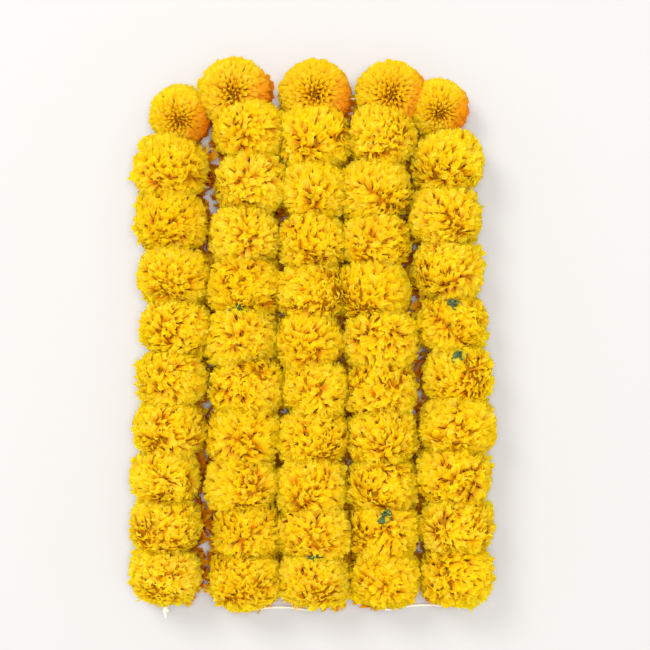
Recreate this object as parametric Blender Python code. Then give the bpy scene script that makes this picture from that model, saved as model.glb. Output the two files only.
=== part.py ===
"""A marigold garland: one long string threaded through 53 blooms and laid in five runs, side by side.

The garland lies on a flat surface at Z = 0, the runs along Y. The string goes up run 1, down run 2,
up run 3, down run 4 and up run 5. At the top of a run the last bloom lies on its back with its face
up, and the string passes from one such bloom to the next along the surface, under both of them.
Each bloom is one body of petals with its calyx, pressed flat where it meets the surface or the next
bloom, and has a plain hole for the string. Units are metres.
"""

import math
import random

import bmesh
import bpy
from mathutils import Matrix, Vector

MM = 0.001

# Driving dimensions.
BLOOM_RADIUS = 36.5 * MM  # petal tips, across the string
BLOOM_HALF_LENGTH = 26.0 * MM  # petal tips, along the string
FULLNESS = 2.6  # 2 is an ellipse, more is a fuller head
VALLEY_SHARE = 0.82  # how deep the valleys between petals lie, as a share of the tips' reach
REST_HEIGHT = 32.5 * MM  # centre of a bloom that lies on its side
FACE_UP_HEIGHT = 24.5 * MM  # centre of a bloom that lies on its back
GAP = 0.4 * MM  # between neighbouring blooms
STRING_RADIUS = 1.1 * MM
STRING_ON_SURFACE = 1.3 * MM  # height of the string's centre where it lies on the surface
HOLE_CLEARANCE = 0.3 * MM
GROOVE_CLEARANCE = 0.6 * MM  # added near the surface, where the hole opens into a groove
GROOVE_HEIGHT = 5.0 * MM
KNOT_RADIUS = 3.4 * MM
CROWDING = 0.018  # the blooms sit closer together towards the lower end of a run

# Petal rings, from the calyx to the face: the angle of each row of valleys above the bloom's
# middle, in degrees. Petals stand in the diamonds between three rows.
VALLEY_ROWS = (-66, -40, -15, 10, 34, 60)
PETALS_IN_RING = 10
LEAN = 0.30  # a petal's tip leans this share of the way to the row above
TIP_WOBBLE = 0.25  # of the petal's own half width
LENGTH_WOBBLE = 0.06
SEED = 20

# One entry for each run: the X of its line, the Y of its top bloom, of the bloom below that one and
# of its lowest bloom, and how far each bloom sits beside the line, from the top down (millimetres).
RUNS = (
    (-133, 208, 156, -228, (7, 0, -2, 2, 5, 0, -2, -6, -5, -6)),
    (-64, 229, 191, -232, (-10, 5, 7, 0, 0, -5, 3, 0, -2, 3, 0)),
    (1, 227, 184, -232, (2, 1, 2, -1, -1, -5, 1, 0, -1, 1, 1)),
    (65, 227, 186, -232, (10, 1, -6, -5, -8, 1, -1, 1, 2, 2, 4)),
    (132, 212, 162, -228, (-11, -4, -6, -3, 1, 6, 6, 3, 5, 5)),
)
FACE_UP_TILT = {1: 62, 2: 80, 3: 84, 4: 80, 5: 60}  # degrees that the top bloom's face is turned up
TOP_SIZE = {1: 0.84, 2: 0.98, 3: 0.98, 4: 0.96, 5: 0.82}  # of the top bloom, against the others
AXIS_WOBBLE = 9  # degrees


class Seat:
    """Where a bloom sits: its centre, the way its face points, its size and its own random draw."""

    def __init__(self, run, place, centre, face, size=1.0):
        self.name = f"bloom_{run}_{place:02d}"
        self.centre = centre
        self.face = face.normalized()
        self.size = size
        self.draw = random.Random(SEED + 100 * run + place)


def clear_scene():
    for obj in list(bpy.data.objects):
        bpy.data.objects.remove(obj, do_unlink=True)


def seats_of_run(number, line_x, top_y, second_y, last_y, side_steps):
    """The seats of one run, from the top down. Below the top bloom they are nearly evenly spaced."""
    seats = []
    steps = len(side_steps) - 2
    for place, side in enumerate(side_steps):
        x = (line_x + side) * MM
        if place == 0:
            tilt = math.radians(FACE_UP_TILT[number])
            face = Vector((0, -math.cos(tilt), math.sin(tilt)))
            centre = Vector((x, top_y * MM, FACE_UP_HEIGHT))
            seats.append(Seat(number, 0, centre, face, TOP_SIZE[number]))
            continue
        share = (place - 1) / steps
        share += CROWDING * math.sin(math.pi * share)
        y = (second_y + (last_y - second_y) * share) * MM
        seat = Seat(number, place, Vector((x, y, REST_HEIGHT)), Vector((0, -1, 0)))
        sway, nod = (math.radians(seat.draw.uniform(-AXIS_WOBBLE, AXIS_WOBBLE)) for _ in range(2))
        seat.face = Vector((math.sin(sway), -math.cos(sway), math.sin(nod))).normalized()
        seats.append(seat)
    return seats


def reach(elevation):
    """How far the petal tips reach from the bloom's centre at this angle above its middle."""
    across = abs(math.cos(elevation)) / BLOOM_RADIUS
    along = abs(math.sin(elevation)) / BLOOM_HALF_LENGTH
    return (across**FULLNESS + along**FULLNESS) ** (-1 / FULLNESS)


def direction(azimuth, elevation):
    flat = math.cos(elevation)
    return Vector((flat * math.cos(azimuth), flat * math.sin(azimuth), math.sin(elevation)))


def add_petal(bm, corners, left, right, low, high, draw):
    """Raises a petal from one diamond of the lattice.

    corners are the diamond's vertices, from the left round by the low one; left and right are its
    azimuths, and low and high its elevations.
    """
    middle, half = (left + right) / 2, (right - left) / 2
    centre = (low + high) / 2
    lift = centre + LEAN * (high - centre) * draw.uniform(0.5, 1.5)
    length = reach(lift) * (1 + draw.uniform(-LENGTH_WOBBLE, LENGTH_WOBBLE))
    shift = half * draw.uniform(-TIP_WOBBLE, TIP_WOBBLE)
    tip = bm.verts.new(length * direction(middle + shift, lift))
    for first, second in zip(corners, (*corners[1:], corners[0])):
        bm.faces.new((first, second, tip))


def petal_head(seat):
    """A bloom with its petals in rings round the string, face along +Z, as a closed bmesh."""
    bm = bmesh.new()
    rows = [math.radians(angle) for angle in VALLEY_ROWS]
    step = 2 * math.pi / PETALS_IN_RING

    def azimuth(row, place):
        return step * (place + (row % 2) / 2)

    valleys = [
        [
            bm.verts.new(VALLEY_SHARE * reach(angle) * direction(azimuth(row, place), angle))
            for place in range(PETALS_IN_RING)
        ]
        for row, angle in enumerate(rows)
    ]
    back = bm.verts.new(Vector((0, 0, -BLOOM_HALF_LENGTH)))
    eye = bm.verts.new(Vector((0, 0, 0.72 * BLOOM_HALF_LENGTH)))
    last = len(rows) - 1
    for row in range(len(rows)):
        for place in range(PETALS_IN_RING):
            west = valleys[row][place]
            east = valleys[row][(place + 1) % PETALS_IN_RING]
            beside = (place + row % 2) % PETALS_IN_RING
            south = valleys[row - 1][beside] if row else None
            north = valleys[row + 1][beside] if row < last else eye
            if row == 0:
                bm.faces.new((back, east, west))
                bm.faces.new((west, east, north))
                continue
            top = rows[row + 1] if row < last else math.pi / 2
            left = azimuth(row, place)
            add_petal(bm, (west, south, east, north), left, left + step, rows[row - 1], top, seat.draw)
    turn = Vector((0, 0, 1)).rotation_difference(seat.face).to_matrix().to_4x4()
    spin = Matrix.Rotation(seat.draw.uniform(0, 2 * math.pi), 4, "Z")
    bmesh.ops.transform(bm, matrix=turn @ spin @ Matrix.Scale(seat.size, 4), verts=bm.verts)
    return bm


def press(bm, seat, seats):
    """Draws vertices back towards the centre where they pass a plane midway to a neighbour."""
    planes = []
    for other in seats:
        between = other.centre - seat.centre
        if other is not seat and between.length < 2.2 * BLOOM_RADIUS:
            planes.append((between.normalized(), (between.length - GAP) / 2))
    for vert in bm.verts:
        for normal, limit in planes:
            along = vert.co.dot(normal)
            if along > limit:
                vert.co *= limit / along


def flatten(bm, seat):
    """Cuts off what would reach below the surface, which leaves a flat spot under each lowest petal."""
    cut = bmesh.ops.bisect_plane(
        bm,
        geom=[*bm.verts, *bm.edges, *bm.faces],
        plane_co=Vector((0, 0, -seat.centre.z)),
        plane_no=Vector((0, 0, -1)),
        clear_outer=True,
    )
    rim = [item for item in cut["geom_cut"] if isinstance(item, bmesh.types.BMEdge)]
    bmesh.ops.holes_fill(bm, edges=rim, sides=0)
    bmesh.ops.triangulate(bm, faces=[face for face in bm.faces if len(face.verts) > 3])
    bmesh.ops.recalc_face_normals(bm, faces=bm.faces)


def material(name, colour, roughness):
    made = bpy.data.materials.new(name)
    made.use_nodes = True
    shader = made.node_tree.nodes["Principled BSDF"]
    shader.inputs["Base Color"].default_value = (*colour, 1)
    shader.inputs["Roughness"].default_value = roughness
    shader.inputs["Metallic"].default_value = 0
    return made


def new_object(name, bm, location, look=None):
    mesh = bpy.data.meshes.new(name)
    bm.to_mesh(mesh)
    bm.free()
    obj = bpy.data.objects.new(name, mesh)
    obj.location = location
    bpy.context.scene.collection.objects.link(obj)
    if look:
        mesh.materials.append(look)
    return obj


def there_and_back(first, second, stations):
    """The string's way between two blooms, alike at both of them.

    A station is a share of the way across, how far out it lies past the blooms and its height.
    """

    def point(start, across, out, height):
        place = start + across
        return Vector((place.x, place.y - out * MM, height * MM))

    span = second - first
    there = [point(first, span * share, out, height) for share, out, height in stations]
    back = [point(second, -span * share, out, height) for share, out, height in reversed(stations)]
    return there + back


def under_the_top(first, second):
    """Down through one top bloom, along the surface and up through the next."""
    level = STRING_ON_SURFACE / MM
    return there_and_back(first, second, ((0.00, 0, 20), (0.06, 0, 9), (0.18, 0, 2.4), (0.40, 0, level)))


def round_the_bottom(first, second):
    """Bare, from the foot of one run down to the surface and up to the foot of the next."""
    foot = BLOOM_HALF_LENGTH / MM + 0.5
    level = STRING_ON_SURFACE / MM
    bend = ((0.00, 0.0, 32), (0.05, 4.5, 28), (0.16, 6.5, 16), (0.32, 7.0, 5), (0.46, 7.2, level))
    return there_and_back(first, second, [(share, foot + out, height) for share, out, height in bend])


def string_route(runs):
    """The points that the string follows, from the knot at the foot of run 1 to that under run 5's top."""
    first = runs[0][-1].centre
    points = [first + Vector((0, -BLOOM_HALF_LENGTH - 5 * MM, 0))]
    for number, seats in enumerate(runs):
        upwards = number % 2 == 0
        threaded = [seat.centre for seat in seats[1:]]
        if upwards:
            points += reversed(threaded)
            if number + 1 < len(runs):
                points += under_the_top(seats[0].centre, runs[number + 1][0].centre)
        else:
            points += threaded
            points += round_the_bottom(seats[-1].centre, runs[number + 1][-1].centre)
    end = runs[-1][0].centre
    last_stretch = ((0, 22), (4, 15), (10, 7), (16, 4.2), (20, 4.0))
    points += [Vector((end.x, end.y + out * MM, height * MM)) for out, height in last_stretch]
    return points


def smooth(points, steps=2):
    """A Catmull-Rom curve through the points, sampled between each two and kept above the surface."""
    ends = [2 * points[0] - points[1], *points, 2 * points[-1] - points[-2]]
    samples = []
    for a, b, c, d in zip(ends, ends[1:], ends[2:], ends[3:]):
        for step in range(steps):
            t = step / steps
            bend = (2 * a - 5 * b + 4 * c - d) * t**2 + (3 * b - a - 3 * c + d) * t**3
            sample = b + (c - a) * t / 2 + bend / 2
            sample.z = max(sample.z, STRING_ON_SURFACE)
            samples.append(sample)
    return [*samples, points[-1]]


def hole_radius(point):
    """The hole is wider near the surface, so that it opens downwards into a groove."""
    lowness = max(0, (GROOVE_HEIGHT - point.z) / (GROOVE_HEIGHT - STRING_ON_SURFACE))
    return STRING_RADIUS + HOLE_CLEARANCE + lowness * GROOVE_CLEARANCE


def string_mesh(route, radii, knot, sides=6):
    """A tube along the route with a knot at each end, as one closed bmesh."""
    bm = bmesh.new()
    route, radii = with_knots(route, radii, knot)
    tangents = [(b - a).normalized() for a, b in zip([route[0], *route], [*route[1:], route[-1]])]
    side = Vector((0, 0, 1)).cross(tangents[0]).normalized()
    rings = []
    for point, tangent, radius in zip(route, tangents, radii):
        side = (side - tangent * side.dot(tangent)).normalized()
        other = tangent.cross(side)
        rings.append(
            [
                bm.verts.new(point + radius * (math.cos(turn) * side + math.sin(turn) * other))
                for turn in (2 * math.pi * place / sides for place in range(sides))
            ]
        )
    for low, high in zip(rings, rings[1:]):
        for place in range(sides):
            after = (place + 1) % sides
            bm.faces.new((low[place], low[after], high[after], high[place]))
    bm.faces.new(reversed(rings[0]))
    bm.faces.new(rings[-1])
    return bm


def with_knots(route, radii, knot):
    """Adds a round knot past each end of the route: four rings that swell and close."""
    swell = ((0.15, 0.72), (1.0, 1.0), (1.85, 0.72), (2.25, 0.3))
    start = (route[0] - route[1]).normalized()
    finish = (route[-1] - route[-2]).normalized()
    head = [(route[0] + start * along * KNOT_RADIUS, wide * knot) for along, wide in reversed(swell)]
    tail = [(route[-1] + finish * along * KNOT_RADIUS, wide * knot) for along, wide in swell]
    places = [point for point, _ in head] + route + [point for point, _ in tail]
    widths = [radius for _, radius in head] + radii + [radius for _, radius in tail]
    return places, widths


def main():
    clear_scene()
    runs = [seats_of_run(number, *run) for number, run in enumerate(RUNS, start=1)]
    seats = [seat for run in runs for seat in run]
    petals = material("marigold_petals", (0.83, 0.50, 0.01), 0.7)
    cotton = material("cotton_string", (0.80, 0.74, 0.58), 0.9)

    route = smooth(string_route(runs))
    holes = [hole_radius(point) for point in route]
    cutter = new_object("string_cutter", string_mesh(route, holes, KNOT_RADIUS + HOLE_CLEARANCE), Vector())
    cutter.hide_render = True
    cutter.display_type = "WIRE"
    thread = [STRING_RADIUS] * len(route)
    new_object("string", string_mesh(route, thread, KNOT_RADIUS), Vector(), cotton)

    for seat in seats:
        head = petal_head(seat)
        press(head, seat, seats)
        flatten(head, seat)
        bloom = new_object(seat.name, head, seat.centre, petals)
        hole = bloom.modifiers.new("string_hole", "BOOLEAN")
        hole.operation = "DIFFERENCE"
        hole.object = cutter


main()
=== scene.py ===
# %% [markdown]
# # A marigold garland
#
# This lesson dresses a garland of full yellow marigolds that lies in five runs on a pale table. The
# solids of the part are already there: one plain solid for each bloom, and the string. Each bloom gets
# its petals and its green calyx here, and the string gets its twist. Nothing is moved: every piece is
# placed from the solid that it stands for.

# %% Load the solids
import math
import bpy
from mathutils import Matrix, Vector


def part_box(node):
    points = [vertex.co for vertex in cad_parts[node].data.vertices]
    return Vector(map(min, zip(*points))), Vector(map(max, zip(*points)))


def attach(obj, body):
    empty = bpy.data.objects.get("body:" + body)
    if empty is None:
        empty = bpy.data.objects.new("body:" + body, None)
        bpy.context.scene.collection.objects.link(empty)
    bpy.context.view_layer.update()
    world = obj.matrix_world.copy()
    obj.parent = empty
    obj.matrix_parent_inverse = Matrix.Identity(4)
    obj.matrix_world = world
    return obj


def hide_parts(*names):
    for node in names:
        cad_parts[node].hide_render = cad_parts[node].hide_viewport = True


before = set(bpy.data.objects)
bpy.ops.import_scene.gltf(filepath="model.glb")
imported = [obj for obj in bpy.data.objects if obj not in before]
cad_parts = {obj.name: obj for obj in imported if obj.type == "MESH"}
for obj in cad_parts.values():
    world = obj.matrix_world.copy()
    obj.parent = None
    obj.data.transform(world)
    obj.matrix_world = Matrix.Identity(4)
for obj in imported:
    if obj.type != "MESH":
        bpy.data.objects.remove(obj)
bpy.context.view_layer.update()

from types import SimpleNamespace

import bpy
import numpy as np
from mathutils import Vector

MM = 0.001
bloom_names = sorted(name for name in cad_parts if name.startswith("bloom_"))

# %% [markdown]
# ## The camera and the light
#
# The garland lies flat, so the camera looks straight down on it, from far enough away that the runs stay
# parallel. The light is that of a white studio: a large soft lamp at the upper left, which throws pale
# shadows to the lower right, another overhead, which brings out the crowns of the heads, and a bright
# white room that fills the shadows. Lamps and camera aren't pieces of the part, so they ride on nothing.

# %% Camera, floor and lamps
VIEW_WIDTH = 617 * MM  # what the camera takes in at the height of the blooms' middle
VIEW_MIDDLE = (12.4 * MM, 7.9 * MM)
BLOOM_MIDDLE = 32.5 * MM  # height of the blooms' middle above the table
LENS = 85.0
FILM_WIDTH = 36  # in millimetres, as the lens is
FLOOR_SIZE = 6
FLOOR_COLOUR = (0.369, 0.362, 0.360, 1)
ROOM_COLOUR = (1.0, 0.99, 0.97, 1)
ROOM_BRIGHTNESS = 1.06
GAMMA = 1.15  # lifts the shades a little
LAMPS = {  # place, size in metres, power in watts, and colour
    "key_lamp": ((-2.0, 2.2, 3.4), 2.0, 160, (1.0, 0.98, 0.95)),
    "top_lamp": ((0.2, 0.1, 3.4), 1.6, 118, (1.0, 0.99, 0.97)),
}


def deselect():
    bpy.ops.object.select_all(action="DESELECT")


def add_camera():
    deselect()
    distance = VIEW_WIDTH * LENS / FILM_WIDTH
    bpy.ops.object.camera_add(location=(*VIEW_MIDDLE, BLOOM_MIDDLE + distance), rotation=(0, 0, 0))
    camera = bpy.context.object
    camera.data.lens = LENS
    camera.data.clip_start = 0.1
    bpy.context.scene.camera = camera
    print(f"camera {distance:.2f} m above the blooms")


def add_lamp(name, place, size, power, tint):
    """An area lamp that looks at the middle of the garland."""
    deselect()
    bpy.ops.object.light_add(type="AREA", location=place)
    lamp = bpy.context.object
    lamp.name = name
    lamp.data.shape = "DISK"
    lamp.data.size = size
    lamp.data.energy = power
    lamp.data.color = tint
    lamp.rotation_mode = "QUATERNION"
    lamp.rotation_quaternion = (-Vector(place)).to_track_quat("-Z", "Y")


def add_floor():
    deselect()
    bpy.ops.mesh.primitive_plane_add(size=FLOOR_SIZE, location=(0, 0, 0))
    floor = bpy.context.object
    floor.name = "floor"
    paint = bpy.data.materials.new("pale_floor")
    paint.use_nodes = True
    shader = paint.node_tree.nodes["Principled BSDF"]
    shader.inputs["Base Color"].default_value = FLOOR_COLOUR
    shader.inputs["Roughness"].default_value = 0.8
    shader.inputs["Specular IOR Level"].default_value = 0.2
    floor.data.materials.append(paint)


def light_the_room():
    world = bpy.data.worlds.new("white_room")
    world.use_nodes = True
    world.node_tree.nodes["Background"].inputs["Color"].default_value = ROOM_COLOUR
    world.node_tree.nodes["Background"].inputs["Strength"].default_value = ROOM_BRIGHTNESS
    bpy.context.scene.world = world


add_camera()
add_floor()
for lamp_name, settings in LAMPS.items():
    add_lamp(lamp_name, *settings)
light_the_room()
bpy.context.scene.view_settings.view_transform = "Standard"
bpy.context.scene.view_settings.gamma = GAMMA
print("lamps", list(LAMPS))

# %% [markdown]
# ## Where each bloom sits
#
# A bloom is threaded from its calyx to its face, so the string runs through its middle. Its own solid is
# squeezed by its neighbours, and its box would give a middle that is a little off. So the string's points
# about halfway through that box give the middle instead. The top bloom of each run lies on its back; the
# others lie on their side with their face towards -Y.

# %% Middles and directions
FACE_UP_MIDDLE = 24.5 * MM
HOLE_TURNS_AT = 20 * MM  # height where the string turns down inside a top bloom
NEAR_THE_TURN = 3 * MM  # how near that height the string's points count as its ring
NEAR_HALFWAY = 12 * MM  # how near the box's middle they do in the other blooms
FACE_UP_TILT = {1: 62, 2: 80, 3: 84, 4: 80, 5: 60}  # degrees, as in the solids
TOP_SIZE = {1: 0.84, 2: 0.98, 3: 0.98, 4: 0.96, 5: 0.82}  # of the top blooms, as in the solids
OTHER_SIZES = (0.96, 1.04)
FACE_STRAY = 0.24  # how far a face may turn to the side, up or down
FACE_LIFT = 0.1  # how far the faces turn up on the whole
string_points = np.array([vertex.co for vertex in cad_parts["string"].data.vertices])


def unit(vectors):
    return vectors / np.linalg.norm(vectors, axis=-1, keepdims=True)


class Seat:
    """One bloom's place: its run, its number in it from the top, its middle, and where its face points."""

    def __init__(self, name):
        low, high = (np.array(corner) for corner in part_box(name))
        self.name = name
        self.run, self.place = (int(part) for part in name.split("_")[1:])
        self.draw = np.random.default_rng(1000 * self.run + self.place)
        self.face_up = self.place == 0
        self.sides = [side for side in (-1, 1) if self.run + side in TOP_SIZE]  # where another run lies
        self.size = TOP_SIZE[self.run] if self.face_up else self.draw.uniform(*OTHER_SIZES)
        inside = string_points[((string_points > low) & (string_points < high)).all(axis=1)]
        if self.face_up:
            ring = np.abs(inside[:, 2] - HOLE_TURNS_AT) < NEAR_THE_TURN
        else:
            ring = np.abs(inside[:, 1] - (low[1] + high[1]) / 2) < NEAR_HALFWAY
        self.middle = inside[ring].mean(axis=0)
        if self.face_up:
            self.middle[2] = FACE_UP_MIDDLE
            tilt = math.radians(FACE_UP_TILT[self.run])
            self.face = np.array((0, -math.cos(tilt), math.sin(tilt)))
        else:
            sideways, upwards = self.draw.uniform(-FACE_STRAY, FACE_STRAY, 2)
            self.face = unit(np.array((sideways, -1, upwards + FACE_LIFT)))


seats = [Seat(name) for name in bloom_names]
print("first seats", [(seat.name, (seat.middle / MM).round(1).tolist()) for seat in seats[:3]])

# %% [markdown]
# ## One petal
#
# A marigold petal is a strap with a blunt, frilled tip. The blank is a flat grid, two faces wide and three
# long. A copy of it with its inner points sunk a little is joined to it along the rim, which closes the
# petal with sharp edges and without a wall, in only 22 triangles. That matters: each bloom holds hundreds.

# %% The petal's blank
PETAL_FACES = (2, 3)


def petal_blank():
    """The blank as arrays: across (0 to 2) and along (0 to 3) of each vertex, its layer and the faces."""
    deselect()
    bpy.ops.mesh.primitive_grid_add(x_subdivisions=PETAL_FACES[0], y_subdivisions=PETAL_FACES[1], size=2)
    blank = bpy.context.object
    flat = len(blank.data.vertices)
    bpy.ops.object.mode_set(mode="EDIT")
    bpy.ops.mesh.duplicate()
    bpy.ops.mesh.flip_normals()
    bpy.ops.mesh.select_all(action="DESELECT")
    bpy.ops.object.mode_set(mode="OBJECT")
    for vertex in blank.data.vertices:
        on_the_rim = max(abs(vertex.co.x), abs(vertex.co.y)) > 0.99
        vertex.select = vertex.index >= flat and not on_the_rim
    bpy.ops.object.mode_set(mode="EDIT")
    bpy.ops.transform.translate(value=(0, 0, -1))
    bpy.ops.mesh.select_all(action="SELECT")
    bpy.ops.mesh.remove_doubles(threshold=0.01)
    bpy.ops.mesh.quads_convert_to_tris()
    bpy.ops.object.mode_set(mode="OBJECT")
    place = np.array([vertex.co for vertex in blank.data.vertices])
    faces = np.array([tuple(face.vertices) for face in blank.data.polygons])
    bpy.data.objects.remove(blank, do_unlink=True)
    across = np.rint((place[:, 0] + 1) / 2 * PETAL_FACES[0]).astype(int)
    along = np.rint((place[:, 1] + 1) / 2 * PETAL_FACES[1]).astype(int)
    return across, along, place[:, 2] < -0.5, faces


ACROSS, ALONG, SUNK, BLANK_FACES = petal_blank()
print(f"a petal has {len(ACROSS)} vertices and {len(BLANK_FACES)} triangles")

# %% [markdown]
# ## The form of a head
#
# The tips of the petals fill a rounded, squarish form. Low down it bulges, because the head's weight
# spreads it on the table, and most towards a run beside it, so that its petals close the gap between the
# two. A top bloom has an eye: in the middle of its face the young petals still stand upright.

# %% Reach, bulge and eye
BLOOM_RADIUS = 34.4 * MM
BLOOM_HALF_LENGTH = 29.0 * MM
FULLNESS = 2.7
SAG = 0.25  # how much wider a bloom is low down, where its weight spreads it on the table
GAP_SAG = 0.28  # how much more it spreads towards the runs beside it
SAG_FROM, SAG_RISE, SAG_END = 0.1, 0.5, 1.5  # where the bulge begins, how soon it is full, how it ends
EYE_ANGLE = 0.42  # radians from the middle of the face, within which the young petals stand upright


def reach(lift, fullness=FULLNESS):
    """How far the tips reach from the bloom's middle, at an angle above its equator."""
    across = np.abs(np.cos(lift)) / BLOOM_RADIUS
    along = np.abs(np.sin(lift)) / BLOOM_HALF_LENGTH
    return (across**fullness + along**fullness) ** (-1 / fullness)


def bulge(out, down, beside):
    """How much wider a head is in each direction because its weight spreads it on the table.

    down points at the table and beside holds a direction to each run next to this one. The spread starts a
    little below the head's middle height, is full two thirds of the way down, and ends straight below.
    """
    downward = out @ down
    onset = np.clip((downward - SAG_FROM) / SAG_RISE, 0, 1)
    ending = np.minimum(1, SAG_END * (1 - downward**2))
    sideways = (out @ np.array(beside).reshape(-1, 3).T).max(axis=-1, initial=0)
    return 1 + (SAG + GAP_SAG * sideways) * onset**2 * (3 - 2 * onset) * ending


def near_eye(lift):
    """1 in the middle of the face, falling to 0 a little way off."""
    return np.exp(-(((math.pi / 2 - lift) / EYE_ANGLE) ** 2))


print(f"tips reach {reach(0) / MM:.1f} mm across and {reach(math.pi / 2) / MM:.1f} mm along the string")

# %% [markdown]
# ## A head of petals
#
# The petals stand all over a hidden core, on a spiral that turns by the golden angle, which is how the
# plant packs them. Low down, where they lie pressed under the head, there are half as many, and they are
# wider. The work is done for all petals of a bloom at once, in arrays.
#
# Two looks share the code. A petal starts at the angle lean and bends on by roll. comb pulls it back from
# the face, droop pulls it down, and swirl turns whole patches of petals another way. frill, disorder and
# length_spread are the sizes of the random changes that keep the head from looking combed.

# %% Where the petals stand
SPIRAL_START = -0.94  # the spiral leaves the back of the head free for the calyx; 1 is the face
GOLDEN_ANGLE = math.pi * (3 - math.sqrt(5))
LOW_FROM = 0.35  # petals that point down by more than this are low ones
LIFT_STRAY, TURN_STRAY = 0.08, 0.20  # radians off the spiral, at full disorder
DRIFT_WAVES, DRIFT_CLOSENESS, DRIFT_SIZE = 5, 2.2, 0.65

SIDE_LOOK = SimpleNamespace(
    count=980, widths=(3.6 * MM, 5.8 * MM), lean=0.58, roll=0.85, comb=0.45, droop=0.5, swirl=0.45,
    frill=0.18, disorder=0.32, length_spread=0.035, eye=0.0,
)
FACE_UP_LOOK = SimpleNamespace(
    count=620, widths=(3.8 * MM, 4.8 * MM), lean=0.64, roll=0.60, comb=1.0, droop=0.0, swirl=0.0,
    frill=0.05, disorder=0.10, length_spread=0.02, eye=1.0,
)


def drift(places, draw, width):
    """Numbers near 1 in size that change smoothly over a head, [place, width]: sums of a few waves."""
    waves = draw.normal(0, DRIFT_CLOSENESS, (DRIFT_WAVES, 3))
    phases = draw.uniform(0, 2 * math.pi, DRIFT_WAVES)
    sizes = draw.normal(0, DRIFT_SIZE, (DRIFT_WAVES, width))
    return np.sin(places @ waves.T + phases) @ sizes


def outward(lift, turn):
    """The direction at an angle above the bloom's equator and an angle round it."""
    return np.stack((np.cos(lift) * np.cos(turn), np.cos(lift) * np.sin(turn), np.sin(lift)), axis=-1)


def stand_petals(look, draw, down):
    """Each petal's angle above the equator, its way out, the way that it falls, and whether it is low."""
    order = np.arange(look.count)
    lift = np.arcsin(SPIRAL_START + (1 - SPIRAL_START) * (order + 0.5) / look.count)
    turn = order * GOLDEN_ANGLE
    low = outward(lift, turn) @ down > LOW_FROM
    kept = ~(low & (order % 2 == 1))
    lift, turn, low = lift[kept], turn[kept], low[kept]
    count = len(lift)
    lift = lift + draw.normal(0, LIFT_STRAY * look.disorder, count)
    turn = turn + draw.normal(0, TURN_STRAY * look.disorder, count)
    out = outward(lift, turn)
    back = np.stack((np.sin(lift) * np.cos(turn), np.sin(lift) * np.sin(turn), -np.cos(lift)), axis=-1)
    fall_to = look.comb * back + look.droop * (down - (out @ down)[:, None] * out)
    stray = draw.normal(0, look.disorder, (count, 3)) + look.swirl * drift(out, draw, 3)
    fall_to = unit(fall_to + stray - (stray * out).sum(axis=-1, keepdims=True) * out)
    return lift, out, fall_to, low


print(f"a bloom on its side has {SIDE_LOOK.count} places for petals, a top bloom {FACE_UP_LOOK.count}")

# %% [markdown]
# ## How the petals bend
#
# Each petal is rooted inside the core, runs outwards, and rolls back towards the calyx near its tip, so
# that the tips overlap like shingles. It is as long as it takes to reach the head's form. Its width
# follows its rows, its sides cup back, its tip is notched, and its edge is frilled.

# %% The petals' shape
LOW_WIDTH = 1.6  # how much wider the low petals are
LOW_FULLNESS = 4.0  # added low down, where the blooms bulge into the gaps between them
LONGEST_PETAL = 24 * MM
ROOT_SHARE = 0.62  # how far out the petals are rooted, of their reach
ROWS = np.array((0.0, 0.50, 0.80, 1.0))  # how far along the petal each row of the blank stands
ROW_WIDTHS = np.array((0.40, 0.78, 1.0, 0.96))
LUMPS = 0.06  # how far whole patches of petals stand out or back
ROLLS = (0.1, 1.2)
WIDTH_CHANGES = (0.8, 1.2)
EYE_STRAIGHTER, EYE_NARROWER = 0.8, 0.4  # how much less the young petals lean, and how much thinner
TIP_CHANGES = (-0.12, 0.06)  # of the petal's length, for each of the tip's three points
NOTCH = 0.04  # how much further in the middle one is
CUP = 0.12  # how far the sides bend back, for each millimetre of width
PETAL_THICKNESS = 0.25 * MM


def bend_petals(look, draw, lift, out, down, beside):
    """Each petal's root and length and, at its rows, its lean and how far it has risen and fallen."""
    count = len(lift)
    lowness = np.clip(out @ down, 0, 1)
    widened = bulge(out, down, beside)
    root = ROOT_SHARE * reach(lift) * widened
    lumps = LUMPS * look.swirl * drift(out, draw, 1)[:, 0]
    spread = draw.normal(0, look.length_spread, count)
    tip = reach(lift, FULLNESS + LOW_FULLNESS * lowness) * (1 + spread + lumps) * widened
    lean = look.lean + (look.roll * draw.uniform(*ROLLS, count))[:, None] * ROWS**2
    lean = lean * (1 - EYE_STRAIGHTER * (look.eye * near_eye(lift))[:, None])
    bend = (lean[:, 1:] + lean[:, :-1]) / 2
    start = np.zeros((count, 1))
    rise = np.concatenate((start, np.cumsum(np.diff(ROWS) * np.cos(bend), axis=1)), axis=1)
    fall = np.concatenate((start, np.cumsum(np.diff(ROWS) * np.sin(bend), axis=1)), axis=1)
    length = np.minimum((tip - root) / rise.max(axis=1), LONGEST_PETAL)
    return root, length, lean, rise, fall


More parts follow.
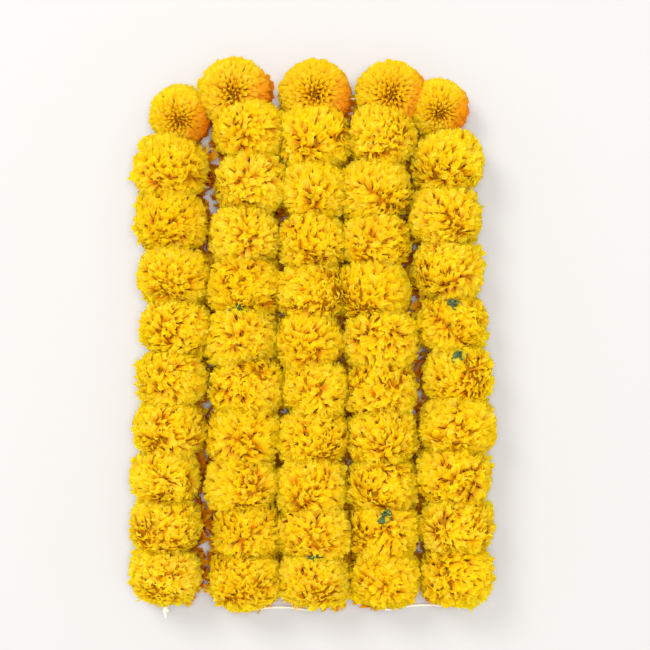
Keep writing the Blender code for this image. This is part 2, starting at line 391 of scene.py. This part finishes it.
def grow_petals(look, draw, down, beside):
    """Vertices of all petals, [petal, vertex, xyz], with the face along +Z and the middle at the origin."""
    lift, out, fall_to, low = stand_petals(look, draw, down)
    root, length, lean, rise, fall = bend_petals(look, draw, lift, out, down, beside)
    count = len(lift)
    aside = np.cross(out, fall_to)
    width = draw.choice(look.widths, count) * draw.uniform(*WIDTH_CHANGES, count)
    width = width * np.where(low, LOW_WIDTH, 1)
    width = width * (1 - EYE_NARROWER * (look.eye * near_eye(lift)))
    twist = draw.normal(0, look.disorder, count)[:, None] * ROWS
    frill = draw.normal(0, look.frill, (count, 3, len(ROWS))) * ROWS**3
    tips = draw.uniform(*TIP_CHANGES, (count, 3))
    tips[:, 1] -= NOTCH

    side = ACROSS - 1  # -1, 0 and 1 across the petal
    leaning = lean[:, ALONG]
    normal = np.sin(leaning)[..., None] * out[:, None] - np.cos(leaning)[..., None] * fall_to[:, None]
    turned = twist[:, ALONG]
    sideways = np.cos(turned)[..., None] * aside[:, None] + np.sin(turned)[..., None] * normal
    tip_change = np.where(ALONG == len(ROWS) - 1, tips[:, ACROSS], 0)
    out_by = root[:, None] + length[:, None] * (rise[:, ALONG] + tip_change * np.cos(leaning))
    back_by = length[:, None] * (fall[:, ALONG] + tip_change * np.sin(leaning) - 0.5 * fall[:, -1:])
    half = width[:, None] / 2 * ROW_WIDTHS[ALONG]
    cup = CUP * width[:, None] * np.abs(side) * ROWS[ALONG]
    raised = frill[:, ACROSS, ALONG] * width[:, None] - cup - PETAL_THICKNESS * SUNK
    normal = np.cos(turned)[..., None] * normal - np.sin(turned)[..., None] * aside[:, None]
    place = out_by[..., None] * out[:, None] + back_by[..., None] * fall_to[:, None]
    place += (half * side)[..., None] * sideways + raised[..., None] * normal
    return place


sample = grow_petals(SIDE_LOOK, np.random.default_rng(1), np.array((0, 0, -1)), [np.array((1, 0, 0))])
print(f"petals reach {np.linalg.norm(sample, axis=-1).max() / MM:.1f} mm")

# %% [markdown]
# ## Pressing the blooms together
#
# Soft petals give way where two blooms meet and where a bloom lies on the table. Past the border with a
# neighbour the petals are squeezed towards it instead of cut off, so that the heads still mesh a little.
# The border between two heads of one size runs midway, and otherwise nearer to the smaller one. It is
# wavy, as no two heads give way alike. Below a few millimetres the petals flatten out above the table.

# %% Soft presses
NEIGHBOURS_WITHIN = 2.2 * BLOOM_RADIUS
MESHING = 9.0 * MM
BORDER_STRAY = 3.5 * MM
WAVES_PER_METRE = 150
RIPPLE = 0.5  # how much of the border's stray comes from its waves
FLOOR_SOFTNESS = 3.0 * MM
LOWEST_PETAL = 0.3 * MM
SPLAY = 0.8  # how far petals squeezed against the table move aside, for each millimetre of squeeze


def ease(over, softness):
    """Squeezes a positive overshoot so that it never passes softness."""
    return softness * (1 - np.exp(-over / softness))


def border_shift(points, seat, other):
    """How far the border between two blooms strays from its plane, counted from the first seat."""
    first, second = sorted((seat, other), key=lambda one: (one.run, one.place))
    draw = np.random.default_rng((first.run, first.place, second.run, second.place))
    waves = draw.normal(0, WAVES_PER_METRE, (3, 3))
    ripple = np.sin(points @ waves.T + draw.uniform(0, 2 * math.pi, 3)) @ draw.normal(0, 1, 3)
    shift = BORDER_STRAY * (draw.uniform(-1, 1) + RIPPLE * ripple)
    return shift if seat is first else -shift


def press(points, seat):
    """The points after every neighbour, and then the table, has pressed on them."""
    for other in seats:
        between = other.middle - seat.middle
        apart = np.linalg.norm(between)
        if other is seat or apart > NEIGHBOURS_WITHIN:
            continue
        towards = between / apart
        share = seat.size / (seat.size + other.size)
        limit = apart * share - MESHING / 4 + border_shift(points, seat, other)
        over = np.maximum((points - seat.middle) @ towards - limit, 0)
        points = points - (over - ease(over, MESHING))[..., None] * towards
    under = np.maximum(FLOOR_SOFTNESS + LOWEST_PETAL - points[..., 2], 0)
    spread = unit(points[..., :2] - seat.middle[:2]) * SPLAY
    points[..., :2] += spread * under[..., None]
    points[..., 2] += under - ease(under, FLOOR_SOFTNESS)
    return points


pairs = [np.linalg.norm(one.middle - two.middle) for one in seats for two in seats if one is not two]
print(f"{sum(apart <= NEIGHBOURS_WITHIN for apart in pairs) // 2} pairs of blooms press on each other")

# %% [markdown]
# ## Making materials
#
# A material is a net of nodes. These few functions add a node and wire it up in one go: each input gets
# either a plain value or the output of another node.

# %% Helpers for nodes
def colour(red, green, blue):
    """A linear colour from the screen values 0 to 255."""
    return tuple((value / 255 / 12.92 if value <= 10 else ((value / 255 + 0.055) / 1.055) ** 2.4)
                 for value in (red, green, blue)) + (1.0,)


def new_material(name):
    made = bpy.data.materials.new(name)
    made.use_nodes = True
    return made


def wire(made, node, inputs):
    """Gives each named input a plain value, or links another node's output to it."""
    for name, value in inputs.items():
        if isinstance(value, bpy.types.NodeSocket):
            made.node_tree.links.new(value, node.inputs[name])
        else:
            node.inputs[name].default_value = value


def add_node(made, kind, inputs=None, **settings):
    """Adds a node, with its settings made before its inputs are wired."""
    node = made.node_tree.nodes.new("ShaderNode" + kind)
    for name, value in settings.items():
        setattr(node, name, value)
    wire(made, node, inputs or {})
    return node


def finish_surface(made, **inputs):
    """Wires up the material's own shader, its inputs named with _ for each space, and returns it."""
    shader = made.node_tree.nodes["Principled BSDF"]
    wire(made, shader, {name.replace("_", " "): value for name, value in inputs.items()})
    return shader


def ramp(made, value, *stops):
    """A colour ramp through the stops, each a place and a colour."""
    node = add_node(made, "ValToRGB", {"Fac": value})
    elements = node.color_ramp.elements
    for number, (place, tint) in ((0, stops[0]), (1, stops[-1])):
        elements[number].position = place
        elements[number].color = tint
    for place, tint in stops[1:-1]:
        elements.new(place).color = tint
    return node.outputs["Color"]


def rescale(made, value, low, high, to_low, to_high):
    """Takes low to high onto to_low to to_high, and holds the value between these."""
    inputs = {"Value": value, "From Min": low, "From Max": high, "To Min": to_low, "To Max": to_high}
    return add_node(made, "MapRange", inputs).outputs["Result"]


def mix(made, first, second, factor, blend="MIX"):
    """Mixes two colours. At factor 0 it gives the first."""
    inputs = {"A": first, "B": second, "Factor": factor}
    return add_node(made, "Mix", inputs, data_type="RGBA", blend_type=blend).outputs["Result"]


def noise(made, where, scale, detail):
    return add_node(made, "TexNoise", {"Vector": where, "Scale": scale, "Detail": detail}).outputs["Fac"]


def bump(made, height, strength, distance):
    inputs = {"Height": height, "Strength": strength, "Distance": distance}
    return add_node(made, "Bump", inputs).outputs["Normal"]


print("a clear yellow is", [round(value, 3) for value in colour(254, 251, 34)])

# %% [markdown]
# ## The petals' finish
#
# A petal is orange yellow where it is rooted, clear yellow towards its tip and paler along its rim, and
# each has its own shade. Fine streaks run along it. Petals low in the gaps between the runs, and those on
# the side of a top bloom turned from the key lamp, get painted shade: a deeper orange that stands for the
# warm shadow there. The colour attribute growth holds all this: how far along the petal a point is, the
# petal's shade, how far the point is from the petal's middle line and, last, 1 where no shade is painted.
# The streaks follow a UV map, so they stay on each petal. Thin petals let light through, which keeps the
# shadows between them warm instead of grey.

# %% Petal material
PETAL_STOPS = (0.5, colour(248, 194, 8)), (0.75, colour(252, 243, 12)), (1.0, colour(254, 251, 34))
SHADE_STOPS = (0.0, colour(250, 228, 8)), (0.5, colour(252, 245, 14)), (1.0, colour(254, 252, 112))
# painted shade: a deeper orange for petals in the shadow between the runs and on the unlit side of a top
# bloom
PAINTED_SHADE_ORANGE = colour(251, 156, 12)
MIDDLE_TINT = colour(253, 240, 175)  # deepens a petal along its middle, which leaves the rim paler
STREAK = colour(250, 205, 120)
LIGHT_THROUGH = colour(255, 253, 200)
THROUGH_SHARE = 0.86
STREAK_STRETCH = (5.0, 0.5, 1)  # many across a petal, few along it
STREAK_RELIEF = (0.25, 0.3 * MM)


def petal_material():
    made = new_material("marigold_petals")
    grown = add_node(made, "Attribute", attribute_name="growth").outputs
    parts = add_node(made, "SeparateColor", {"Color": grown["Color"]}).outputs
    body = ramp(made, parts["Red"], *PETAL_STOPS)
    shade = ramp(made, parts["Green"], *SHADE_STOPS)
    tinted = mix(made, body, shade, rescale(made, parts["Red"], 0.5, 0.85, 0.0, 0.45))
    # painted shade: the deeper orange is mixed in where growth's last value is low
    with_painted_shade = mix(made, PAINTED_SHADE_ORANGE, tinted, rescale(made, grown["Alpha"], 0.0, 1.0, 0.2, 1.0))
    rimmed = mix(made, with_painted_shade, MIDDLE_TINT, rescale(made, parts["Blue"], 0.5, 1.0, 0.4, 0.0), "MULTIPLY")

    uv = add_node(made, "UVMap", uv_map="petal_map").outputs["UV"]
    lengthwise = add_node(made, "Mapping", {"Vector": uv, "Scale": STREAK_STRETCH}).outputs["Vector"]
    streaks = noise(made, lengthwise, 1.0, 2)
    streaked = mix(made, rimmed, STREAK, rescale(made, streaks, 0.5, 0.7, 0.0, 0.42), "MULTIPLY")
    ridges = bump(made, streaks, *STREAK_RELIEF)
    shader = finish_surface(made, Base_Color=streaked, Normal=ridges, Roughness=0.62, Specular_IOR_Level=0.25)

    through = mix(made, streaked, LIGHT_THROUGH, 1.0, "MULTIPLY")
    glow = add_node(made, "BsdfTranslucent", {"Color": through})
    both = {"Fac": THROUGH_SHARE, 1: shader.outputs["BSDF"], 2: glow.outputs["BSDF"]}
    surface = add_node(made, "MixShader", both).outputs["Shader"]
    wire(made, made.node_tree.nodes["Material Output"], {"Surface": surface})
    return made


petal_finish = petal_material()
print(f"the petals' finish has {len(petal_finish.node_tree.nodes)} nodes")

# %% [markdown]
# ## The core, and pieces in general
#
# The core is a ball with the head's form that closes the view between the petals. The calyxes and the
# string are made with the same few functions as the blooms, so these come first.

# %% Core and pieces
def core_blank():
    deselect()
    bpy.ops.mesh.primitive_ico_sphere_add(subdivisions=2, radius=1)
    ball = bpy.context.object
    points = np.array([vertex.co for vertex in ball.data.vertices])
    faces = np.array([tuple(face.vertices) for face in ball.data.polygons])
    bpy.data.objects.remove(ball, do_unlink=True)
    return points, faces


CORE_POINTS, CORE_FACES = core_blank()


def turned_to(face, spin):
    """Rotation, as a matrix, that takes +Z to the bloom's face after a spin about it."""
    quaternion = Vector((0, 0, 1)).rotation_difference(Vector(face))
    return np.array(quaternion.to_matrix()) @ np.array(
        ((math.cos(spin), -math.sin(spin), 0), (math.sin(spin), math.cos(spin), 0), (0, 0, 1))
    )


def new_piece(name, points, faces, finish):
    """An object at the origin with one mesh and one material."""
    mesh = bpy.data.meshes.new(name)
    mesh.from_pydata(points, [], faces)
    mesh.materials.append(finish)
    piece = bpy.data.objects.new(name, mesh)
    bpy.context.scene.collection.objects.link(piece)
    return piece


def smooth(piece, degrees):
    """Shades the piece smooth, apart from edges that are sharper than this."""
    deselect()
    piece.select_set(True)
    bpy.context.view_layer.objects.active = piece
    bpy.ops.object.shade_smooth_by_angle(angle=math.radians(degrees))


print(f"a core has {len(CORE_FACES)} faces")

# %% [markdown]
# ## The values that the finish reads
#
# growth and the UV map are filled in here. How much shade is painted on a point depends on where it lies
# on the table: the low petals beside another run look at each other, in the shadow between the runs, where
# light that has passed through many petals is a warmer yellow, so a deeper orange is painted there. A top
# bloom gets painted shade on the side turned from the key lamp.

# %% Shades, painted shade and streaks
SHADED_SIDE = unit(np.array((1.0, -0.45, -0.2)))  # the side of a top bloom turned from the key lamp, which gets painted shade
SHADED_SIDE_RISE, SHADED_SIDE_START = 1.2, 0.25
SHADE_PAINTED_BELOW = 27 * MM  # height below which the petals in the gaps between the runs get painted shade
SHADE_PAINTED_DEPTH = 16 * MM
SHADE_PAINTED_RISE, SHADE_PAINTED_MOST = 1.5, 0.8
SHADE_MIDDLE, BLOOM_SHADES, PETAL_SHADES = 0.5, 0.12, 0.28  # the middle, and how far blooms and petals stray
STREAK_LENGTH = 50  # the stretch of streaks from which each petal takes its own


def painted_shade_at(points, seat):
    """Painted shade, 0 to 1: a top bloom's side turned from the key lamp, and low down beside another run."""
    if seat.face_up:
        # painted shade on the side turned from the key lamp
        toward = (points - seat.middle) @ SHADED_SIDE / (BLOOM_RADIUS * seat.size)
        return np.clip(SHADED_SIDE_RISE * toward - SHADED_SIDE_START, 0, 1)
    # painted shade low down in the gaps between the runs
    sideways = (points[:, 0] - seat.middle[0]) / BLOOM_RADIUS
    into_gap = np.maximum.reduce([side * sideways for side in seat.sides])
    shade_painted = np.clip(SHADE_PAINTED_RISE * into_gap, 0, SHADE_PAINTED_MOST) * (SHADE_PAINTED_BELOW - points[:, 2]) / SHADE_PAINTED_DEPTH
    return np.clip(shade_painted, 0, 1)


def growth_at(points, seat, count):
    """The four values of growth for each point. The core comes first and has no petals' values."""
    growth = np.zeros((len(points), 4))
    petals = growth[-count * len(ACROSS):]
    petals[:, 0] = np.tile(ROWS[ALONG], count)
    shade_middle = SHADE_MIDDLE + seat.draw.normal(0, BLOOM_SHADES)
    shades = np.clip(seat.draw.normal(shade_middle, PETAL_SHADES, count), 0, 1)
    petals[:, 1] = np.repeat(shades, len(ACROSS))
    petals[:, 2] = np.tile(np.abs(ACROSS - 1), count)
    # the last value is 1 where no shade is painted
    growth[:, 3] = 1 - painted_shade_at(points, seat)
    return growth


def petal_map(seat, core_size, count):
    """Where each point lies on the streaks. Every petal has its own stretch of them."""
    uv = np.zeros((core_size + count * len(ACROSS), 2))
    shift = np.repeat(seat.draw.uniform(0, STREAK_LENGTH, count), len(ACROSS))
    uv[core_size:, 0] = np.tile(ACROSS / PETAL_FACES[0], count) + shift
    uv[core_size:, 1] = np.tile(ROWS[ALONG], count) + shift
    return uv


test_points = seats[1].middle + BLOOM_RADIUS * np.array(((0, 0, 1), (1, 0, -0.7)))
print("warmth on top of a bloom and low down beside the next run", painted_shade_at(test_points, seats[1]).round(2))

# %% [markdown]
# ## Building the blooms
#
# A bloom is the core and all its petals in one mesh, turned so that its face points the right way, moved
# to its middle, and pressed. Its object stays at the origin, as the solids' objects do.

# %% Blooms
CORE_SHARE = 0.84
CORE_ABOVE_TABLE = 9 * MM  # room for the petals that lie pressed under the core
EYE_HOLLOW = 0.35  # how far the core sinks under an eye


def build_bloom(seat):
    look = FACE_UP_LOOK if seat.face_up else SIDE_LOOK
    matrix = turned_to(seat.face, seat.draw.uniform(0, 2 * math.pi))
    beside = [] if seat.face_up else [matrix.T @ np.array((side, 0, 0)) for side in seat.sides]
    down = matrix.T @ np.array((0, 0, -1))
    petals = grow_petals(look, seat.draw, down, beside)
    lifts = np.arcsin(CORE_POINTS[:, 2])
    hollow = 1 - EYE_HOLLOW * look.eye * near_eye(lifts)
    core = CORE_POINTS * (CORE_SHARE * hollow * reach(lifts) * bulge(CORE_POINTS, down, beside))[:, None]
    points = np.concatenate((core, petals.reshape(-1, 3))) * seat.size @ matrix.T + seat.middle
    points = press(points, seat)
    points[:len(core), 2] = np.maximum(points[:len(core), 2], CORE_ABOVE_TABLE)
    starts = len(core) + np.arange(len(petals)) * len(ACROSS)
    faces = np.concatenate((CORE_FACES, (BLANK_FACES[None] + starts[:, None, None]).reshape(-1, 3)))

    name = f"petals_{seat.run}_{seat.place:02d}"
    bloom = new_piece(name, points.tolist(), faces.tolist(), petal_finish)
    attribute = bloom.data.attributes.new("growth", "FLOAT_COLOR", "POINT")
    attribute.data.foreach_set("color", growth_at(points, seat, len(petals)).ravel())
    uv = petal_map(seat, len(core), len(petals))
    bloom.data.uv_layers.new(name="petal_map").data.foreach_set("uv", uv[faces.ravel()].ravel())
    smooth(bloom, 55)
    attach(bloom, "root")
    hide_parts(seat.name)
    return bloom


blooms = [build_bloom(seat) for seat in seats]
print(f"{sum(len(bloom.data.polygons) for bloom in blooms)} triangles in {len(blooms)} blooms")

# %% [markdown]
# ## One calyx
#
# Behind the petals sits the green calyx: a short tube, open where the stalk was pulled off and the string
# now goes in, that widens into a cup and ends in five pointed sepals that lie spread under the petals. It
# is a cylinder of ten sides. Its far end is inset and pushed in for the hole, its near end is drawn out
# into the cup, and every second point of the cup's rim is drawn out once more into a sepal.

# %% The calyx's form
CALYX_SIDES = 10
TUBE_RADIUS = 2.9 * MM
TUBE_LENGTH = 7.0 * MM
TUBE_WALL = 0.8 * MM
HOLE_DEPTH = 4 * MM
CUP_HEIGHT = 3 * MM
CUP_STEPS = ((1.5 * MM, 1.6), (1.5 * MM, 1.25))  # how far down, and how much wider
SEPAL_THICKNESS = 0.8 * MM
SEPAL_SPREAD = 2.1
SEPAL_RISE = 1.2 * MM
HAIR = 0.1 * MM  # enough to tell one height from the next


def pick(shape, wanted):
    """Selects the faces or points of the object that is edited for which wanted is true."""
    bpy.ops.object.mode_set(mode="EDIT")
    bpy.ops.mesh.select_mode(type=shape)
    bpy.ops.mesh.select_all(action="DESELECT")
    bpy.ops.object.mode_set(mode="OBJECT")
    mesh = bpy.context.object.data
    for part in mesh.polygons if shape == "FACE" else mesh.vertices:
        part.select = wanted(part.center if shape == "FACE" else part.co)
    bpy.ops.object.mode_set(mode="EDIT")


def extrude(step):
    bpy.ops.mesh.extrude_region_move(TRANSFORM_OT_translate={"value": (0, 0, step)})


def widen(times):
    bpy.ops.transform.resize(value=(times, times, 1))


def calyx_blank():
    """The calyx as points and faces: its stalk end points along +Z and its sepals lie near z = 0."""
    deselect()
    bpy.ops.mesh.primitive_cylinder_add(
        vertices=CALYX_SIDES, radius=TUBE_RADIUS, depth=TUBE_LENGTH,
        location=(0, 0, TUBE_LENGTH / 2 + CUP_HEIGHT),
    )
    bpy.ops.object.transform_apply(location=True)
    blank = bpy.context.object
    pick("FACE", lambda middle: middle.z > TUBE_LENGTH + CUP_HEIGHT - HAIR)
    bpy.ops.mesh.inset(thickness=TUBE_WALL)
    extrude(-HOLE_DEPTH)
    pick("FACE", lambda middle: middle.z < CUP_HEIGHT + HAIR)
    for step, times in CUP_STEPS:
        extrude(-step)
        widen(times)
    extrude(-SEPAL_THICKNESS)
    sector = 2 * math.pi / CALYX_SIDES
    pick("VERT", lambda point: point.z < 0.5 * MM and round(math.atan2(point.y, point.x) / sector) % 2 == 0)
    widen(SEPAL_SPREAD)
    bpy.ops.transform.translate(value=(0, 0, SEPAL_RISE))
    bpy.ops.object.mode_set(mode="OBJECT")
    points = np.array([vertex.co for vertex in blank.data.vertices])
    faces = [tuple(face.vertices) for face in blank.data.polygons]
    bpy.data.objects.remove(blank, do_unlink=True)
    return points, faces


CALYX_POINTS, CALYX_LOOPS = calyx_blank()
print(f"a calyx has {len(CALYX_LOOPS)} faces")

# %% [markdown]
# ## The calyx of each bloom
#
# Each bloom gets a copy of the calyx. Most hide between two blooms. Where a bloom has tipped over, its
# calyx looks up out of the gap, and its petals cover so much of it that it is made smaller here.

# %% Calyxes
CALYX_AT = 0.72  # how far from the middle to the back of the head the cup starts
PEEKING_AT = 0.93
PEEKING_SIZE = 0.75
PEEKING = {(2, 5): 52, (3, 10): 50, (4, 9): 50, (5, 4): 55, (5, 5): 55}  # degrees that a calyx is tipped up
LOWEST_CALYX = 0.4 * MM


def calyx_material():
    made = new_material("calyx_green")
    where = add_node(made, "TexCoord").outputs["Object"]
    stops = (0.3, colour(14, 34, 6)), (0.7, colour(54, 80, 12))
    finish_surface(made, Base_Color=ramp(made, noise(made, where, 260, 3), *stops), Roughness=0.75)
    return made


calyx_finish = calyx_material()


def build_calyx(seat):
    backward = -seat.face
    tip_up = math.radians(PEEKING.get((seat.run, seat.place), 0))
    upward = unit(np.array((0, 0, 1)) - backward * backward[2])
    direction = backward * math.cos(tip_up) + upward * math.sin(tip_up)
    matrix = turned_to(direction, seat.draw.uniform(0, 2 * math.pi))
    lift = -math.pi / 2 + tip_up
    start = (PEEKING_AT if tip_up else CALYX_AT) * float(reach(lift)) * direction
    points = CALYX_POINTS * (PEEKING_SIZE if tip_up else 1) @ matrix.T + seat.middle + seat.size * start
    sunk = max(0, LOWEST_CALYX - points[:, 2].min())
    if sunk > 0:
        points += direction * sunk / direction[2]  # a top bloom's calyx points down, so this lifts it
    calyx = new_piece(f"calyx_{seat.run}_{seat.place:02d}", points.tolist(), CALYX_LOOPS, calyx_finish)
    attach(calyx, "root")
    return calyx


calyxes = [build_calyx(seat) for seat in seats]
print(f"{len(calyxes)} calyxes, {len(PEEKING)} of them tipped up")

# %% [markdown]
# ## The string's way
#
# One cotton string runs through all the blooms: up the first run, down the second, and so on. Its way is
# the same as in the solid. It passes from one top bloom to the next along the table, and from the foot of
# one run to the next in a bare bend. Each end is tied in a small overhand knot that keeps the blooms on.

# %% Route and knots
STRING_RADIUS = 1.1 * MM
STRING_ON_TABLE = 1.3 * MM
TABLE_LEVEL = STRING_ON_TABLE / MM
# From one bloom to the next: the share of the way across, and how far out and how high, in millimetres.
UNDER_THE_TOP = ((0.00, 0, 20), (0.06, 0, 9), (0.18, 0, 2.4), (0.40, 0, TABLE_LEVEL))
ROUND_THE_FOOT = ((0.00, 0.0, 32), (0.05, 4.5, 28), (0.16, 6.5, 16), (0.32, 7.0, 5), (0.46, 7.2, TABLE_LEVEL))
FOOT = 26.5  # from the middle of a lowest bloom to its face, in millimetres
TO_THE_LAST_KNOT = ((0, 22), (4, 15), (10, 7), (16, 4.2), (20, 4.0))  # out and up, in millimetres
TO_THE_FIRST_KNOT = 31 * MM
KNOT_RADIUS = 3.4 * MM
KNOT_ARC = (0.35 * math.pi, 2.2 * math.pi)  # the part that is tied of a closed curve with three loops
KNOT_POINTS = 40
KNOT_DEPTH = 1.2
TAIL = 4 * MM
TAIL_POINTS = 6


def there_and_back(first, second, stations):
    """The way between two blooms, alike at both."""
    span = second.middle - first.middle
    back_again = [(1 - share, out, height) for share, out, height in stations[::-1]]
    route = []
    for share, out, height in [*stations, *back_again]:
        across = first.middle + span * share
        route.append(np.array((across[0], across[1] - out * MM, height * MM)))
    return route


def string_route():
    """The route's points and, for each, whether the stretch after it is bare."""
    runs = [[seat for seat in seats if seat.run == number] for number in sorted(TOP_SIZE)]
    points = [runs[0][-1].middle + np.array((0, -TO_THE_FIRST_KNOT, 0))]
    bare = [True]
    for number, run in enumerate(runs):
        upwards = number % 2 == 0
        threaded = [seat.middle for seat in (run[:0:-1] if upwards else run[1:])]
        points += threaded
        bare += [False] * len(threaded)
        if upwards and number + 1 < len(runs):
            turn = there_and_back(run[0], runs[number + 1][0], UNDER_THE_TOP)
        elif upwards:
            under = np.array((*run[0].middle[:2], 0))
            turn = [under + MM * np.array((0, out, up)) for out, up in TO_THE_LAST_KNOT]
        else:
            bend = [(share, FOOT + out, height) for share, out, height in ROUND_THE_FOOT]
            turn = there_and_back(run[-1], runs[number + 1][-1], bend)
        points += turn
        bare += [True] * len(turn)
    return points, bare


def knot(start, forward):
    """An overhand knot that begins at start and leaves along forward, with a short tail."""
    aside = unit(np.cross(forward, (0, 0, 1)))
    turn = np.linspace(*KNOT_ARC, KNOT_POINTS)[:, None]
    loop = (KNOT_RADIUS - STRING_RADIUS) / 3
    across = loop * (np.sin(turn) + 2 * np.sin(2 * turn))
    along = loop * (np.cos(turn) - 2 * np.cos(2 * turn))
    up = -loop * KNOT_DEPTH * np.sin(3 * turn)
    middle = start + forward * KNOT_RADIUS
    coil = middle + across * aside + along * forward + up * np.array((0, 0, 1))
    tail = middle + forward * (KNOT_RADIUS + np.linspace(0.3, 1, TAIL_POINTS)[:, None] * TAIL)
    return [*coil, *tail]


def knotted_route():
    points, bare = string_route()
    first_knot = knot(points[0], unit(points[0] - points[1]))[::-1]
    last_knot = knot(points[-1], unit(points[-1] - points[-2]))
    bare = [True] * len(first_knot) + bare + [True] * len(last_knot)
    return [*first_knot, *points, *last_knot], bare


route_points, route_bare = knotted_route()
print(f"the string's way has {len(route_points)} points, {sum(route_bare)} of them on bare stretches")

# %% [markdown]
# ## The twisted cord
#
# The cord is a tube whose section has three lobes that turn as it goes, as three plies turn about each
# other. Its rings are close together where it is bare and wide apart where the blooms hide it.

# %% String
PLIES = 3
PLY_PITCH = 13 * MM  # the length in which a ply goes once round
PLY_VALLEY, PLY_RIDGE = 0.78, 0.26  # of the radius: between two plies, and what a ply adds
CORD_SIDES = 12
BARE_STEP = 0.9 * MM
HIDDEN_STEP = 7 * MM


def smooth_route(points, bare):
    """A Catmull-Rom curve through the points, with close samples where the string is bare."""
    ends = [2 * points[0] - points[1], *points, 2 * points[-1] - points[-2]]
    samples = []
    for a, b, c, d, is_bare in zip(ends, ends[1:], ends[2:], ends[3:], bare):
        steps = max(1, round(np.linalg.norm(c - b) / (BARE_STEP if is_bare else HIDDEN_STEP)))
        for t in np.arange(steps) / steps:
            curve = b + (c - a) * t / 2 + (2 * a - 5 * b + 4 * c - d) * t**2 / 2
            samples.append(curve + (3 * b - a - 3 * c + d) * t**3 / 2)
    return np.array([*samples, points[-1]])


def cord_form(route):
    """Points and faces of a closed tube along the route, and the length of the route."""
    route[:, 2] = np.maximum(route[:, 2], STRING_ON_TABLE)
    forward = unit(np.gradient(route, axis=0))
    run_up = np.concatenate(((0,), np.cumsum(np.linalg.norm(np.diff(route, axis=0), axis=1))))
    side = unit(np.cross((0, 0, 1), forward[0]))
    around = np.arange(CORD_SIDES) * 2 * math.pi / CORD_SIDES
    points = []
    for place, ahead, so_far in zip(route, forward, run_up):
        side = unit(side - ahead * (side @ ahead))
        other = np.cross(ahead, side)
        lobes = np.abs(np.cos(PLIES / 2 * (around - so_far * 2 * math.pi / PLY_PITCH)))
        radius = STRING_RADIUS * (PLY_VALLEY + PLY_RIDGE * lobes)
        ring = place + (radius * np.cos(around))[:, None] * side + (radius * np.sin(around))[:, None] * other
        points += ring.tolist()
    faces = []
    for low in range(0, len(points) - CORD_SIDES, CORD_SIDES):
        high = low + CORD_SIDES
        for place in range(CORD_SIDES):
            after = (place + 1) % CORD_SIDES
            faces.append((low + place, low + after, high + after, high + place))
    faces.append(tuple(reversed(range(CORD_SIDES))))
    faces.append(tuple(range(len(points) - CORD_SIDES, len(points))))
    return points, faces, run_up[-1]


def string_material():
    made = new_material("cotton_string")
    where = add_node(made, "TexCoord").outputs["Object"]
    fuzz = noise(made, where, 1500, 4)
    tones = ramp(made, fuzz, (0.0, colour(196, 184, 150)), (1.0, colour(244, 238, 216)))
    fibres = bump(made, fuzz, 0.5, 0.15 * MM)
    finish_surface(made, Base_Color=tones, Normal=fibres, Roughness=0.9, Specular_IOR_Level=0.2)
    return made


def build_string():
    points, faces, length = cord_form(smooth_route(route_points, route_bare))
    string = new_piece("twisted_string", points, faces, string_material())
    smooth(string, 60)
    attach(string, "root")
    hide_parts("string")
    return string, length


string, string_length = build_string()
print(f"string {string_length:.2f} m, {2 * len(string.data.polygons)} triangles")
